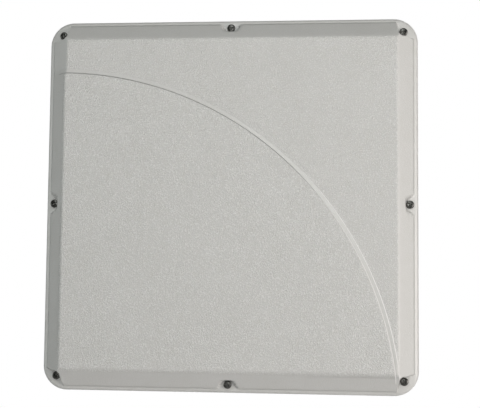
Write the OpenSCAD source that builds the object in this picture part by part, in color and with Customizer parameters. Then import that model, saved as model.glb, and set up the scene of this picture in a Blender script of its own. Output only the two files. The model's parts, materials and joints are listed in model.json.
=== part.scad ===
// Outdoor flat panel antenna on a tilting pole bracket.
// +Z is up and the radome faces -Y. The origin is on the pole's axis, midway between the
// two U-bolts. All sizes are in millimetres.

/* [Panel] */
// Width of the panel
panel_w = 371; // [300:1:450]
// Height of the panel
panel_h = 371; // [300:1:450]
// Radius of the panel's corners
corner_r = 24; // [19:1:32]
// Wall of the radome
wall = 2.5; // [2:0.1:3]
// Thickness of the radome's flange
flange_t = 3; // [2.5:0.1:4]
// Depth of the skirt, from the flange's front to the rear edge
skirt_d = 12; // [11:0.5:20]

/* [Raised face] */
// Width of the flat land between the outer edge and the raised face
land_w = 4.5; // [3.5:0.1:5.2]
// Height of the outer part of the raised face above the flange
face_h = 14; // [12.5:0.5:18]
// Extra height of the part inside the curved step
step_h = 1.4; // [1:0.1:3]
// Distance from the panel's edge to the crest of the outer part
crest_in = 21; // [18:0.5:26]
// Distance from the left edge to the crest of the higher part
step_crest_side = 20; // [17:0.5:26]
// Distance from the lower edge to the crest of the higher part
step_crest_low = 22.5; // [18:0.5:28]
// Width of the curved step's slope, seen from the front
step_run = 4.5; // [2:0.1:8]
// Distance below the top edge where the step meets the left crest
step_drop = 53.5; // [40:0.5:80]
// Distance of the step's centre from the left edge
step_centre_in = 14.5; // [10:0.5:40]
// Distance of the step's centre below the lower edge
step_centre_low = 19.5; // [0:0.5:30]

/* [Cover screws and their bays] */
// Distance of the four middle screws from the edge
mid_in = 8.5; // [8:0.1:9.5]
// Distance of the four corner screws from both edges
corner_in = 14.5; // [13:0.1:16]
// Radius of the middle bays round their screws
mid_bay_r = 5.8; // [5:0.1:7]
// Width of a middle bay at the foot of the raised face
mid_bay_w = 23; // [18:0.5:32]
// Radius of the corner bays round their screws
corner_bay_r = 6; // [5:0.1:7]
// Thread diameter of the cover screws
cover_screw_d = 4; // [3:0.5:4]
// Head diameter of the cover screws
cover_head_d = 8; // [7:0.1:8.6]
// Head height of the cover screws
cover_head_h = 2.6; // [2:0.1:3]
// Outer diameter of the clinch nuts
cover_nut_d = 8.2; // [7:0.1:8.6]
// Height of the clinch nuts
cover_nut_h = 3.2; // [2:0.1:4]

/* [Back] */
// Thickness of the gasket
gasket_t = 1.5; // [1:0.1:2]
// Thickness of the back plate
plate_t = 2; // [1.5:0.1:2.5]

/* [Radiating array] */
// Side of a patch plate
patch_w = 48; // [36:1:54]
// Thickness of a patch plate
patch_t = 1; // [0.8:0.1:1.2]
// Height of the patch plates above the back plate
patch_up = 8; // [7:0.5:9]
// Distance from the panel's edge to the outer patch plates
array_margin = 38.5; // [36:0.5:44]
// Height of the feed strip above the back plate
feed_up = 3; // [3:0.1:4]
// Thickness of the feed strip
feed_t = 1; // [0.8:0.1:1.2]
// Width of the feed strip's trunk
trunk_w = 8; // [6:0.5:10]
// Width of the feed strip's branches
branch_w = 5; // [4:0.5:7]

/* [Cable socket] */
// Height of the socket's axis above the panel's lower edge
socket_up = 65.5; // [50:0.5:80]
// Side of the socket's square flange
socket_flange = 25.4; // [24:0.1:27]
// Distance between the flange's screws, across and up
socket_pitch = 18.26; // [17:0.01:19]
// Outer diameter of the socket's thread
socket_d = 15.88; // [15:0.01:17]
// Length of the socket's barrel behind its flange
socket_l = 15; // [12:0.5:18]

/* [Brackets] */
// Thickness of the brackets' steel sheet
sheet_t = 3; // [2.5:0.5:4]
// Inner radius of the folds
fold_r = 2; // [1:0.5:3]
// Room for a socket spanner between the U-bolts' washers and the pole bracket's ears
spanner_gap = 4.6; // [3:0.1:12]
// Height of the pole bracket
pole_bracket_h = 112; // [108:1:130]
// Height of the panel bracket
panel_bracket_h = 98; // [90:1:110]
// Distance from the pole bracket's sheet to the pivot
pivot_reach = 25; // [24:0.5:32]
// Distance from the back plate to the pivot
pivot_stand = 40; // [38:0.5:50]
// Distance of the locking bolts above the pivot
lock_up = 30; // [28:0.5:32]
// Largest tilt each way, in degrees
tilt_max = 20; // [10:1:22]
// Thread diameter of the pivot and locking bolts
bolt_d = 8; // [6:1:8]
// Distance of the panel studs from the middle, across
stud_x = 20; // [18:0.5:28]
// Distance of the panel studs from the middle, up and down
stud_z = 36; // [33:0.5:38]
// Thread diameter of the panel studs
stud_d = 6; // [5:1:6]

/* [Pole clamp] */
// Radius of the pole
pole_r = 25; // [20:0.5:26]
// Thickness of the saddles in front of the pole
saddle_t = 9; // [8:0.5:14]
// Height of one saddle
saddle_h = 20; // [16:1:24]
// Half the angle that a saddle holds the pole over, in degrees
saddle_half = 65; // [58:1:66]
// Thickness of the saddles' ears, which the U-bolts pass through
saddle_ear = 8; // [6:0.5:9]
// Distance of each U-bolt from the middle
u_bolt_z = 42; // [41:0.5:44]
// Diameter of the U-bolts' bar
u_bolt_d = 8; // [6:1:8]
// Gap between the pole and the U-bolts' legs
leg_gap = 1; // [0.5:0.1:2]
// Length of a U-bolt's leg in front of its nut
u_bolt_spare = 7; // [3:0.5:8]

/* [Fits] */
// Clearance round a bolt or a rod in a hole that locates it
close_fit = 0.08; // [0.05:0.01:0.1]
// Clearance round a bolt in a hole that doesn't locate it
free_fit = 0.4; // [0.3:0.1:0.6]
// Gap between sheets that slide past each other
slide_gap = 0.3; // [0.2:0.1:0.5]
// Gap between the panel's stacked parts and the radome's skirt
edge_gap = 0.5; // [0.3:0.1:0.8]

/* [Hidden] */
$fn = 96;
through = 60;

// Nuts, bolt heads and washers in proportion to their thread
function nut_r(d) = d * 0.94;
function nut_h(d) = d * 0.8;
function head_h(d) = d * 0.66;
function washer_r(d) = d * 1.05;
function washer_t(d) = d * 0.2;
function spring_r(d) = d * 0.92;
function spring_t(d) = d * 0.25;

// Places along Y, from the pole to the front of the radome
web_y = -pole_r - saddle_t;
pivot_y = web_y - sheet_t - pivot_reach;
back_y = pivot_y - pivot_stand;
plate_y = back_y - plate_t;
flange_y = plate_y - gasket_t - flange_t;

// The curved step's circle
step_x = -panel_w / 2 + step_centre_in;
step_z = -panel_h / 2 - step_centre_low;
step_r = panel_h / 2 - step_drop - step_z;

// Centres of the cover screws
mid_x = panel_w / 2 - mid_in;
mid_z = panel_h / 2 - mid_in;
corner_x = panel_w / 2 - corner_in;
corner_z = panel_h / 2 - corner_in;
cover_screw_at = [for (i = [-1:1], j = [-1:1]) if (i != 0 || j != 0)
    [i * (j == 0 ? mid_x : corner_x), j * (i == 0 ? mid_z : corner_z)]];

// Centres of the patch plates, which stand in four columns and four rows
array_n = 4;
pitch_x = (panel_w - 2 * array_margin - patch_w) / (array_n - 1);
pitch_z = (panel_h - 2 * array_margin - patch_w) / (array_n - 1);
patch_at = [for (i = [0:array_n - 1], j = [0:array_n - 1])
    [(i - (array_n - 1) / 2) * pitch_x, (j - (array_n - 1) / 2) * pitch_z]];
patch_screw_d = 3;
patch_screw_l = 5;
post_r = 3;
post_pin_r = 2;
patch_y = plate_y - patch_up;
feed_y = plate_y - feed_up;

// Heads of the small screws in the array and in the cable socket
small_head_d = 5.5;
small_head_h = 2;

// Feed spacers stand under the branches, clear of the patch posts and the studs
spacer_r = 3;
spacer_foot_r = 2;
spacer_pin_r = 1.2;
spacer_at = concat(
    [for (i = [-1, 1]) [i * pitch_x * 0.6, 0]],
    [for (i = [-1, 1], j = [-1, 1]) [i * pitch_x, j * pitch_z * 0.55]],
    [for (i = [-1, 1], j = [-1, 1], k = [-1, 1]) [(i + k * 0.25) * pitch_x, j * pitch_z]],
    [[0, -pitch_z * 0.6]]);

// The cable socket
socket_z = -panel_h / 2 + socket_up;
socket_gasket_t = 0.8;
socket_flange_t = 3;
socket_y = back_y + socket_gasket_t + socket_flange_t;
socket_screw_d = 3;
socket_nut_r = 3.1;
socket_nut_t = 2.4;
socket_corner_r = 2;
socket_bore_r = 4.2;
socket_bore_l = 10;
insulator_r = 3.5;
contact_r = 1.6;
contact_l = 7;
contact_bore_r = 0.85;
rod_r = 0.8;

// Length of a fastener or a pin past what holds it
pin_spare = 0.8;
cover_spare = 0.6;
stud_spare = 2;
tilt_spare = 1.6;

// The U-bolts
leg_r = u_bolt_d / 2;
leg_x = pole_r + leg_gap + leg_r;
bend_y = -0.9;
u_bolt_nut_y = web_y - sheet_t - washer_t(u_bolt_d) - spring_t(u_bolt_d);
leg_end_y = u_bolt_nut_y - nut_h(u_bolt_d) - u_bolt_spare;

// The pole bracket's outer width, and the inner faces of the panel bracket's ears
bracket_w = 2 * (leg_x + washer_r(u_bolt_d) + spanner_gap + sheet_t);
ear_x = bracket_w / 2 + slide_gap;

// Places along X of the tilt joint's stack, from the outside to the inside
tilt_head_x = ear_x + sheet_t + slide_gap + washer_t(bolt_d);
tilt_web_x = bracket_w / 2 - sheet_t;
tilt_nut_x = tilt_web_x - washer_t(bolt_d) - spring_t(bolt_d);
tilt_bolt_l = tilt_head_x - tilt_nut_x + nut_h(bolt_d) + tilt_spare;
tilt_bolt_at = [[pivot_y, 0], [pivot_y, lock_up]];

// ---- Shapes that repeat ----

// Extrudes a front view from y0 back to y1
module slab(y0, y1) {
    translate([0, y1, 0]) rotate([90, 0, 0]) linear_extrude(y1 - y0) children();
}

// Extrudes a side view from x0 to x1
module across(x0, x1) {
    translate([x0, 0, 0]) rotate([90, 0, 90]) linear_extrude(x1 - x0) children();
}

// A rod along Y from y0 back to y1
module rod_y(r, x, z, y0, y1) {
    translate([x, y1, z]) rotate([90, 0, 0]) cylinder(r = r, h = y1 - y0);
}

// A rod along X from x0 to x1
module rod_x(r, y, z, x0, x1) {
    translate([x0, y, z]) rotate([0, 90, 0]) cylinder(r = r, h = x1 - x0);
}

// Both the given half and its mirror image across the middle
module both_sides() {
    children();
    mirror([1, 0, 0]) children();
}

// A rectangle with round corners
module round_rect(w, h, r) {
    square([w - 2 * r, h], center = true);
    square([w, h - 2 * r], center = true);
    for (i = [-1, 1], j = [-1, 1])
        translate([i * (w / 2 - r), j * (h / 2 - r)]) circle(r);
}

// A flat or spring washer lying across Y
module washer_y(r, bore, x, z, y0, t) {
    difference() {
        rod_y(r, x, z, y0, y0 + t);
        rod_y(bore, x, z, y0 - 1, y0 + t + 1);
    }
}

// A flat or spring washer standing across X
module washer_x(r, bore, y, z, x0, t) {
    difference() {
        rod_x(r, y, z, x0, x0 + t);
        rod_x(bore, y, z, x0 - 1, x0 + t + 1);
    }
}

// A hexagon nut on a leg or stud along Y, its front face at y0
module nut_y(d, x, z, y0, bore) {
    difference() {
        translate([x, y0 + nut_h(d), z]) rotate([90, 30, 0])
            cylinder(r = nut_r(d), h = nut_h(d), $fn = 6);
        rod_y(bore, x, z, y0 - 1, y0 + nut_h(d) + 1);
    }
}

// The split in a spring washer, cut through one side
module split(d) {
    reach = spring_r(d) + 1;
    rotate([0, 0, 20]) translate([0, reach / 2, 0])
        cube([d / 8, reach, spring_t(d) + 2], center = true);
}

// A domed screw head with a cross recess, standing on z = 0
module pan_head(d, h) {
    dome_r = d * 0.72;
    difference() {
        intersection() {
            cylinder(d = d, h = h);
            translate([0, 0, h - dome_r]) sphere(dome_r);
        }
        for (a = [0, 90]) rotate([0, 0, a])
            translate([0, 0, h]) cube([d * 0.6, d * 0.14, h * 1.1], center = true);
    }
}

// ---- The radome ----

// The bay round the lower middle screw, with its mouth towards the edge
module mid_bay(half, grow) {
    r = mid_bay_r + grow;
    mouth = mid_bay_w / 2 + grow;
    foot = mid_in - land_w;
    translate([0, -half + mid_in]) {
        circle(r);
        polygon([[-mouth, -foot], [-r * 0.8, r * 0.6], [r * 0.8, r * 0.6], [mouth, -foot],
            [mouth, -foot - through], [-mouth, -foot - through]]);
    }
}

// The bay round the upper right corner screw, open to both edges
module corner_bay(grow) {
    r = corner_bay_r + grow;
    translate([corner_x, corner_z]) {
        circle(r);
        translate([-r, 0]) square([through, through]);
        translate([0, -r]) square([through, through]);
    }
}

// All eight bays
module bays(grow) {
    for (s = [1, -1]) {
        scale([1, s]) mid_bay(panel_h / 2, grow);
        rotate(90 * s) mid_bay(panel_w / 2, grow);
    }
    for (i = [0, 1], j = [0, 1])
        mirror([i, 0]) mirror([0, j]) corner_bay(grow);
}

// A block with four sloping sides. The crests are given as distances from the panel's edges.
module sloped_block(h, foot, left, right, top, low, sink) {
    w = panel_w / 2;
    t = panel_h / 2;
    intersection() {
        linear_extrude(panel_h, center = true)
            polygon([[-w + foot, flange_y + sink], [-w + foot, flange_y], [-w + left, flange_y - h],
                [w - right, flange_y - h], [w - foot, flange_y], [w - foot, flange_y + sink]]);
        across(-w, w)
            polygon([[flange_y + sink, -t + foot], [flange_y, -t + foot], [flange_y - h, -t + low],
                [flange_y - h, t - top], [flange_y, t - foot], [flange_y + sink, t - foot]]);
    }
}

// The round region inside the curved step, its edge sloping between the two levels
module step_region(grow) {
    outer = step_r + step_run / 2 - grow;
    translate([step_x, flange_y - face_h + grow, step_z]) rotate([90, 0, 0]) {
        cylinder(r1 = outer, r2 = outer - step_run, h = step_h, $fn = 180);
        translate([0, 0, -through]) cylinder(r = outer, h = through, $fn = 180);
    }
}

// The raised face, drawn smaller on every side by the given wall
module raised_face(inset, sink) {
    difference() {
        union() {
            sloped_block(face_h - inset, land_w + inset, crest_in + inset, crest_in + inset,
                crest_in + inset, crest_in + inset, sink);
            intersection() {
                sloped_block(face_h + step_h - inset, land_w + inset, step_crest_side + inset,
                    crest_in + inset, crest_in + inset, step_crest_low + inset, sink);
                step_region(inset);
            }
        }
        slab(flange_y - through, flange_y + sink + 1) bays(inset);
    }
}

module radome() {
    color([0.83, 0.83, 0.82]) difference() {
        union() {
            slab(flange_y, flange_y + skirt_d) round_rect(panel_w, panel_h, corner_r);
            raised_face(0, 1);
        }
        raised_face(wall, skirt_d);
        slab(flange_y + flange_t, flange_y + skirt_d + 1)
            round_rect(panel_w - 2 * wall, panel_h - 2 * wall, corner_r - wall);
        for (p = cover_screw_at)
            rod_y(cover_screw_d / 2 + free_fit, p[0], p[1], flange_y - 1, plate_y);
    }
}

// The outline of what lies inside the radome's skirt
module inside_skirt() {
    inset = wall + edge_gap;
    round_rect(panel_w - 2 * inset, panel_h - 2 * inset, corner_r - inset);
}

module radome_gasket() {
    inset = land_w + wall;
    color([0.12, 0.12, 0.12]) difference() {
        slab(plate_y - gasket_t, plate_y) difference() {
            inside_skirt();
            difference() {
                square([panel_w - 2 * inset, panel_h - 2 * inset], center = true);
                bays(wall);
            }
        }
        for (p = cover_screw_at)
            rod_y(cover_screw_d / 2 + free_fit, p[0], p[1], plate_y - through, back_y);
    }
}

// A hole through the back plate that locates a pin or a screw
module plate_hole(r, p) {
    rod_y(r + close_fit, p[0], p[1], plate_y - 1, back_y + 1);
}

module back_plate() {
    color([0.75, 0.76, 0.77]) difference() {
        slab(plate_y, back_y) inside_skirt();
        for (p = cover_screw_at) plate_hole(cover_screw_d / 2, p);
        for (p = patch_at) plate_hole(post_pin_r, p);
        for (p = spacer_at) plate_hole(spacer_foot_r, p);
        for (i = [-1, 1], j = [-1, 1]) plate_hole(stud_d / 2, [i * stud_x, j * stud_z]);
        socket_rods(socket_screw_d / 2 + close_fit, plate_y - 1, back_y + 1);
        plate_hole(insulator_r, [0, socket_z]);
    }
}

module cover_screws() {
    end_y = back_y + cover_nut_h + cover_spare;
    color([0.35, 0.36, 0.37]) for (p = cover_screw_at) {
        translate([p[0], flange_y, p[1]]) rotate([90, 0, 0]) pan_head(cover_head_d, cover_head_h);
        rod_y(cover_screw_d / 2, p[0], p[1], flange_y, end_y);
    }
}

module cover_nuts() {
    color([0.7, 0.7, 0.72]) for (p = cover_screw_at)
        washer_y(cover_nut_d / 2, cover_screw_d / 2 + close_fit, p[0], p[1], back_y, cover_nut_h);
}

// ---- The radiating array ----

module patch_plates() {
    color([0.85, 0.85, 0.86]) for (p = patch_at) difference() {
        slab(patch_y - patch_t, patch_y) translate(p) square(patch_w, center = true);
        rod_y(patch_screw_d / 2 + close_fit, p[0], p[1], patch_y - patch_t - 1, patch_y + 1);
    }
}

module patch_posts() {
    color([0.8, 0.65, 0.3]) for (p = patch_at) difference() {
        union() {
            rod_y(post_r, p[0], p[1], patch_y, plate_y);
            rod_y(post_pin_r, p[0], p[1], patch_y, back_y);
        }
        rod_y(patch_screw_d / 2 + close_fit, p[0], p[1], patch_y - 1, plate_y - 1);
    }
}

module patch_screws() {
    color([0.6, 0.6, 0.62]) for (p = patch_at) {
        translate([p[0], patch_y - patch_t, p[1]]) rotate([90, 0, 0])
            pan_head(small_head_d, small_head_h);
        rod_y(patch_screw_d / 2, p[0], p[1], patch_y - patch_t, patch_y + patch_screw_l);
    }
}

// The strip branches like an H inside an H, and each end lies under one patch plate
module feed_strip() {
    end_gap = 11;
    reach = pitch_z * 0.5 - end_gap;
    translate([-trunk_w / 2, socket_z - trunk_w / 2]) square([trunk_w, -socket_z + trunk_w / 2]);
    square([2 * pitch_x + branch_w, branch_w], center = true);
    for (i = [-1, 1]) translate([i * pitch_x, 0]) {
        square([branch_w, 2 * pitch_z + branch_w], center = true);
        for (j = [-1, 1]) translate([0, j * pitch_z]) {
            square([pitch_x + branch_w, branch_w], center = true);
            for (k = [-1, 1]) translate([k * pitch_x / 2, 0])
                square([branch_w, 2 * reach], center = true);
        }
    }
}

module feed_network() {
    color([0.8, 0.5, 0.3]) difference() {
        slab(feed_y - feed_t, feed_y) feed_strip();
        for (p = spacer_at)
            rod_y(spacer_pin_r + close_fit, p[0], p[1], feed_y - feed_t - 1, feed_y + 1);
        rod_y(rod_r + close_fit, 0, socket_z, feed_y - feed_t - 1, feed_y + 1);
    }
}

module feed_spacers() {
    color([0.92, 0.92, 0.9]) for (p = spacer_at) {
        rod_y(spacer_r, p[0], p[1], feed_y, plate_y);
        rod_y(spacer_foot_r, p[0], p[1], feed_y + 1, back_y);
        rod_y(spacer_pin_r, p[0], p[1], feed_y - feed_t - pin_spare, feed_y + 1);
    }
}

// ---- The cable socket ----

// The four screws' places, as rods between two planes
module socket_rods(r, y0, y1) {
    for (i = [-1, 1], j = [-1, 1])
        rod_y(r, i * socket_pitch / 2, socket_z + j * socket_pitch / 2, y0, y1);
}

module n_connector_body() {
    color([0.72, 0.7, 0.66]) difference() {
        union() {
            slab(socket_y - socket_flange_t, socket_y)
                translate([0, socket_z]) round_rect(socket_flange, socket_flange, socket_corner_r);
            rod_y(socket_d / 2, 0, socket_z, socket_y - 1, socket_y + socket_l);
        }
        rod_y(socket_bore_r, 0, socket_z, socket_y + socket_l - socket_bore_l, socket_y + socket_l + 1);
        rod_y(insulator_r + close_fit, 0, socket_z, back_y - 1, socket_y + socket_l);
        socket_rods(socket_screw_d / 2 + close_fit, back_y - 1, socket_y + 1);
    }
}

module n_connector_insulator() {
    color([0.95, 0.95, 0.93]) difference() {
        rod_y(insulator_r, 0, socket_z, plate_y - 1, socket_y + socket_l - socket_bore_l);
        rod_y(rod_r + close_fit, 0, socket_z, plate_y - 2, socket_y + socket_l);
    }
}

module n_connector_contact() {
    seat_y = socket_y + socket_l - socket_bore_l;
    color([0.85, 0.68, 0.3]) difference() {
        union() {
            rod_y(rod_r, 0, socket_z, feed_y - feed_t - pin_spare, seat_y + 1);
            rod_y(contact_r, 0, socket_z, seat_y, seat_y + contact_l);
        }
        rod_y(contact_bore_r, 0, socket_z, seat_y + 1.5, seat_y + contact_l + 1);
        translate([0, seat_y + contact_l, socket_z]) {
            cube([0.4, 8, 4], center = true);
            cube([4, 8, 0.4], center = true);
        }
    }
}

module connector_gasket() {
    color([0.1, 0.1, 0.1]) difference() {
        slab(back_y, back_y + socket_gasket_t)
            translate([0, socket_z]) round_rect(socket_flange, socket_flange, socket_corner_r);
        rod_y(insulator_r + close_fit, 0, socket_z, back_y - 1, socket_y);
        socket_rods(socket_screw_d / 2 + close_fit, back_y - 1, socket_y);
    }
}

module connector_screws() {
    color([0.6, 0.6, 0.62]) {
        for (i = [-1, 1], j = [-1, 1])
            translate([i * socket_pitch / 2, socket_y, socket_z + j * socket_pitch / 2])
                rotate([-90, 0, 0]) pan_head(small_head_d, small_head_h);
        socket_rods(socket_screw_d / 2, plate_y - socket_nut_t - pin_spare, socket_y);
    }
}

module connector_nuts() {
    color([0.7, 0.7, 0.72]) difference() {
        for (i = [-1, 1], j = [-1, 1])
            translate([i * socket_pitch / 2, plate_y, socket_z + j * socket_pitch / 2])
                rotate([90, 0, 0]) cylinder(r = socket_nut_r, h = socket_nut_t, $fn = 6);
        socket_rods(socket_screw_d / 2 + close_fit, plate_y - socket_nut_t - 1, back_y);
    }
}

// ---- The panel bracket and its fasteners ----

// Places along Y of the stack on each panel stud
stud_washer_y = back_y + sheet_t;
stud_spring_y = stud_washer_y + washer_t(stud_d);
stud_nut_y = stud_spring_y + spring_t(stud_d);

module bracket_studs() {
    stud_end_y = stud_nut_y + nut_h(stud_d) + stud_spare;
    color([0.72, 0.73, 0.75]) for (i = [-1, 1], j = [-1, 1]) {
        rod_y(stud_d / 2, i * stud_x, j * stud_z, plate_y - 1, stud_end_y);
        rod_y(stud_d * 0.7, i * stud_x, j * stud_z, plate_y - 1, plate_y);
    }
}

module bracket_washers() {
    color([0.72, 0.73, 0.75]) for (i = [-1, 1], j = [-1, 1])
        washer_y(washer_r(stud_d), stud_d / 2 + close_fit, i * stud_x, j * stud_z,
            stud_washer_y, washer_t(stud_d));
}

module bracket_spring_washers() {
    color([0.6, 0.61, 0.63]) for (i = [-1, 1], j = [-1, 1]) difference() {
        washer_y(spring_r(stud_d), stud_d / 2 + close_fit, i * stud_x, j * stud_z,
            stud_spring_y, spring_t(stud_d));
        translate([i * stud_x, stud_spring_y + spring_t(stud_d) / 2, j * stud_z])
            rotate([90, 0, 0]) split(stud_d);
    }
}

module bracket_nuts() {
    color([0.72, 0.73, 0.75]) for (i = [-1, 1], j = [-1, 1])
        nut_y(stud_d, i * stud_x, j * stud_z, stud_nut_y, stud_d / 2 + close_fit);
}

// A folded channel: a web with two ears, seen from above. The web lies from y0 towards the
// ears, which stand along dir.
module channel(w, y0, dir, reach) {
    outer_r = fold_r + sheet_t;
    deep = reach + 2 * outer_r;
    difference() {
        translate([0, y0 + dir * deep / 2]) round_rect(w, deep, outer_r);
        translate([0, y0 + dir * (sheet_t + deep / 2)]) round_rect(w - 2 * sheet_t, deep, fold_r);
    }
}

// The curved slot that the locking bolt runs in, in a side view centred on the pivot. Its
// round ends are a little wider than its sides, as a punched slot's are.
module lock_slot() {
    r = bolt_d / 2 + free_fit;
    side = r - 0.1;
    far = through * tan(tilt_max);
    intersection() {
        difference() {
            circle(lock_up + side);
            circle(lock_up - side);
        }
        polygon([[0, 0], [far, through], [-far, through]]);
    }
    for (s = [-1, 1]) rotate(s * tilt_max) translate([0, lock_up]) circle(r);
}

// Side view of the panel bracket's ear, centred on the pivot
module panel_ear() {
    half = panel_bracket_h / 2;
    pivot_edge = bolt_d * 1.75;
    lock_edge = lock_up + bolt_d * 1.6;
    spread = tilt_max + 17;
    neck = 0.9 * lock_edge * [sin(spread - 2), cos(spread - 2)];
    circle(pivot_edge);
    polygon([[-pivot_stand, -half], [-pivot_stand + 10, -half], [-4, -pivot_edge + 1], [pivot_edge - 1, 4],
        neck, [2, lock_edge - 3], [-pivot_stand + 10, half], [-pivot_stand, half]]);
    intersection() {
        circle(lock_edge);
        polygon([[0, 0], through * [sin(spread), cos(spread)], through * [0, 1.5],
            through * [-sin(spread), cos(spread)]]);
    }
}

module antenna_bracket() {
    w = 2 * (ear_x + sheet_t);
    color([0.7, 0.71, 0.72]) difference() {
        intersection() {
            linear_extrude(panel_bracket_h, center = true) channel(w, back_y, 1, 2 * pivot_stand);
            across(-w, w) translate([pivot_y, 0]) panel_ear();
            slab(back_y, back_y + 3 * pivot_stand) round_rect(w, panel_bracket_h, 4);
        }
        rod_x(bolt_d / 2 + close_fit, pivot_y, 0, -w, w);
        across(-w, w) translate([pivot_y, 0]) lock_slot();
        for (i = [-1, 1], j = [-1, 1])
            rod_y(stud_d / 2 + close_fit, i * stud_x, j * stud_z, back_y - 1, back_y + sheet_t + 1);
    }
}

// ---- The pole bracket and the tilt joint's fasteners ----

// Side view of the pole bracket's ear, centred on the pivot
module pole_ear() {
    half = pole_bracket_h / 2;
    web = pivot_reach + sheet_t;
    edge = bolt_d * 1.6;
    circle(edge);
    translate([0, lock_up]) circle(edge);
    polygon([[web, -half], [web, half], [web - 12, half], [2, lock_up + edge - 1],
        [-edge, lock_up], [-edge, 0], [-3, -edge + 1], [web - 12, -half]]);
}

module pole_bracket() {
    w = bracket_w;
    reach = pivot_reach + 3 * bolt_d;
    color([0.7, 0.71, 0.72]) difference() {
        intersection() {
            linear_extrude(pole_bracket_h, center = true) channel(w, web_y, -1, reach);
            across(-w, w) translate([pivot_y, 0]) pole_ear();
            slab(web_y - reach, web_y) round_rect(w, pole_bracket_h, 5);
        }
        for (p = tilt_bolt_at) rod_x(bolt_d / 2 + close_fit, p[0], p[1], -w, w);
        for (i = [-1, 1], j = [-1, 1])
            rod_y(leg_r + free_fit, i * leg_x, j * u_bolt_z, web_y - sheet_t - 1, web_y + 1);
    }
}

// The two hexagon bolts at one place in the side view
module tilt_bolt(p) {
    both_sides() {
        translate([tilt_head_x, p[0], p[1]]) rotate([0, 90, 0])
            cylinder(r = nut_r(bolt_d), h = head_h(bolt_d), $fn = 6);
        rod_x(bolt_d / 2, p[0], p[1], tilt_head_x - tilt_bolt_l, tilt_head_x);
    }
}

// The two nuts at one place in the side view
module tilt_nut(p) {
    both_sides() difference() {
        translate([tilt_nut_x - nut_h(bolt_d), p[0], p[1]]) rotate([0, 90, 0])
            cylinder(r = nut_r(bolt_d), h = nut_h(bolt_d), $fn = 6);
        rod_x(bolt_d / 2 + close_fit, p[0], p[1], 0, tilt_web_x);
    }
}

module pivot_bolts() {
    color([0.72, 0.73, 0.75]) tilt_bolt(tilt_bolt_at[0]);
}

module pivot_nuts() {
    color([0.72, 0.73, 0.75]) tilt_nut(tilt_bolt_at[0]);
}

module tilt_lock_bolts() {
    color([0.72, 0.73, 0.75]) tilt_bolt(tilt_bolt_at[1]);
}

module tilt_lock_nuts() {
    color([0.72, 0.73, 0.75]) tilt_nut(tilt_bolt_at[1]);
}

module tilt_washers() {
    t = washer_t(bolt_d);
    color([0.72, 0.73, 0.75]) both_sides()
        for (p = tilt_bolt_at, x = [tilt_head_x - t, tilt_web_x - t])
            washer_x(washer_r(bolt_d), bolt_d / 2 + close_fit, p[0], p[1], x, t);
}

module tilt_spring_washers() {
    t = spring_t(bolt_d);
    color([0.6, 0.61, 0.63]) both_sides() for (p = tilt_bolt_at) difference() {
        washer_x(spring_r(bolt_d), bolt_d / 2 + close_fit, p[0], p[1], tilt_nut_x, t);
        translate([tilt_nut_x + t / 2, p[0], p[1]]) rotate([0, 90, 0]) split(bolt_d);
    }
}

// ---- The pole clamp ----

// One saddle, seen from above: ears for the U-bolt's legs and a round seat for the pole
module saddle_plan() {
    tip_x = pole_r * sin(saddle_half);
    tip_y = -pole_r * cos(saddle_half);
    ear_y = web_y + saddle_ear;
    side_x = leg_x - leg_r - 0.6;
    difference() {
        polygon([[-leg_x - 9, web_y], [leg_x + 9, web_y], [leg_x + 9, ear_y - 2], [leg_x + 7, ear_y],
            [side_x, ear_y], [side_x, ear_y + 4], [tip_x + 2, tip_y], [-tip_x - 2, tip_y],
            [-side_x, ear_y + 4], [-side_x, ear_y], [-leg_x - 7, ear_y], [-leg_x - 9, ear_y - 2]]);
        circle(pole_r);
    }
}

module saddle(z) {
    color([0.62, 0.63, 0.64]) difference() {
        translate([0, 0, z]) linear_extrude(saddle_h, center = true) saddle_plan();
        for (i = [-1, 1]) rod_y(leg_r + free_fit, i * leg_x, z, web_y - 1, web_y + saddle_t + 1);
    }
}

module saddle_upper() {
    saddle(u_bolt_z);
}

module saddle_lower() {
    saddle(-u_bolt_z);
}

// A round bar bent round the back of the pole
module u_bolt(z) {
    color([0.75, 0.76, 0.78]) translate([0, 0, z]) {
        translate([0, bend_y, 0]) rotate_extrude(angle = 180) translate([leg_x, 0]) circle(leg_r);
        both_sides() rod_y(leg_r, leg_x, 0, leg_end_y, bend_y);
    }
}

module u_bolt_upper() {
    u_bolt(u_bolt_z);
}

module u_bolt_lower() {
    u_bolt(-u_bolt_z);
}

module u_bolt_washers() {
    t = washer_t(u_bolt_d);
    color([0.72, 0.73, 0.75]) for (i = [-1, 1], j = [-1, 1])
        washer_y(washer_r(u_bolt_d), leg_r + close_fit, i * leg_x, j * u_bolt_z,
            web_y - sheet_t - t, t);
}

module u_bolt_spring_washers() {
    t = spring_t(u_bolt_d);
    color([0.6, 0.61, 0.63]) for (i = [-1, 1], j = [-1, 1]) difference() {
        washer_y(spring_r(u_bolt_d), leg_r + close_fit, i * leg_x, j * u_bolt_z, u_bolt_nut_y, t);
        translate([i * leg_x, u_bolt_nut_y + t / 2, j * u_bolt_z])
            rotate([90, 0, 0]) split(u_bolt_d);
    }
}

module u_bolt_nuts() {
    color([0.72, 0.73, 0.75]) for (i = [-1, 1], j = [-1, 1])
        nut_y(u_bolt_d, i * leg_x, j * u_bolt_z, u_bolt_nut_y - nut_h(u_bolt_d), leg_r + close_fit);
}

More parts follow.
